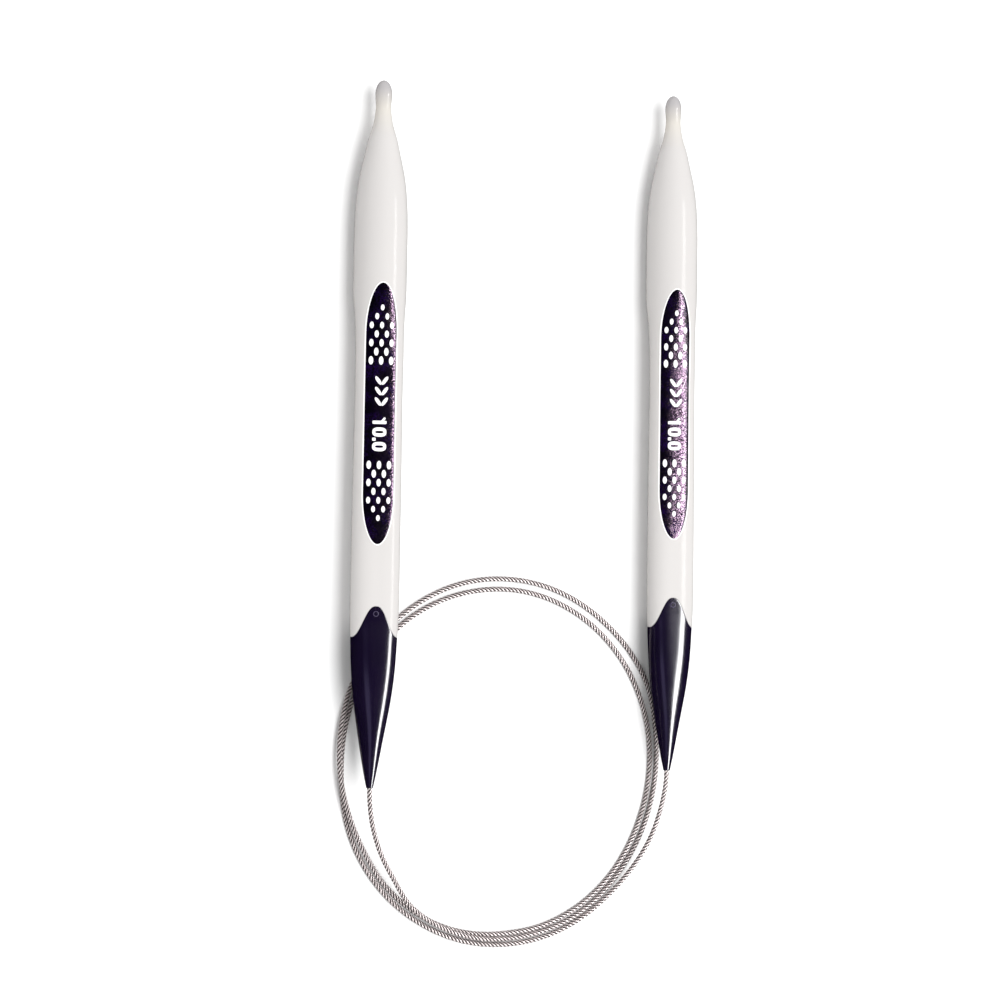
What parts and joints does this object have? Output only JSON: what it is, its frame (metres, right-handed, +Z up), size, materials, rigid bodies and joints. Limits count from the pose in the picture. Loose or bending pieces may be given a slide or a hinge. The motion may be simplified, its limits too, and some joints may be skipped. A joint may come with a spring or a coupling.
{
  "type": "circular knitting needle",
  "caption": "Circular knitting needle: rigid pointed tips with soft-triangle grips, joined end to end by a coiled flexible steel cable that turns freely in each tip.",
  "frame": {"origin": "on the surface it lies on, below the middle of the two needles' box without the cable", "axes": "+Y along the needles towards their points, +X from the left needle to the right one, +Z up from the surface"},
  "size_m": [0.0743, 0.1649, 0.01],
  "materials": {
    "white_polymer": "smooth warm white, softly glossy",
    "dark_polymer": "high gloss, near-black aubergine",
    "violet_panel": "glossy near-black violet with fine metallic flake",
    "steel_cable": "fine stranded steel rope, semi-gloss",
    "steel_ferrule": "crimped, satin"
  },
  "bodies": {
    "cable": {"cable": "steel_cable", "left_cable_ferrule": "steel_ferrule", "right_cable_ferrule": "steel_ferrule"},
    "left_needle": {"left_needle_body": "white_polymer", "left_size_panel": "violet_panel", "left_end_sleeve": "dark_polymer"},
    "right_needle": {"right_needle_body": "white_polymer", "right_size_panel": "violet_panel", "right_end_sleeve": "dark_polymer"}
  },
  "joints": [
    {"name": "left_swivel", "type": "hinge", "parent": "cable", "child": "left_needle", "pos_m": [-0.0328, -0.06605, 0.00574], "axis": [0.0255, 0.9996, -0.0075], "continuous": true},
    {"name": "right_swivel", "type": "hinge", "parent": "cable", "child": "right_needle", "pos_m": [0.03038, -0.06601, 0.00497], "axis": [0.0117, 0.9999, 0], "continuous": true}
  ]
}
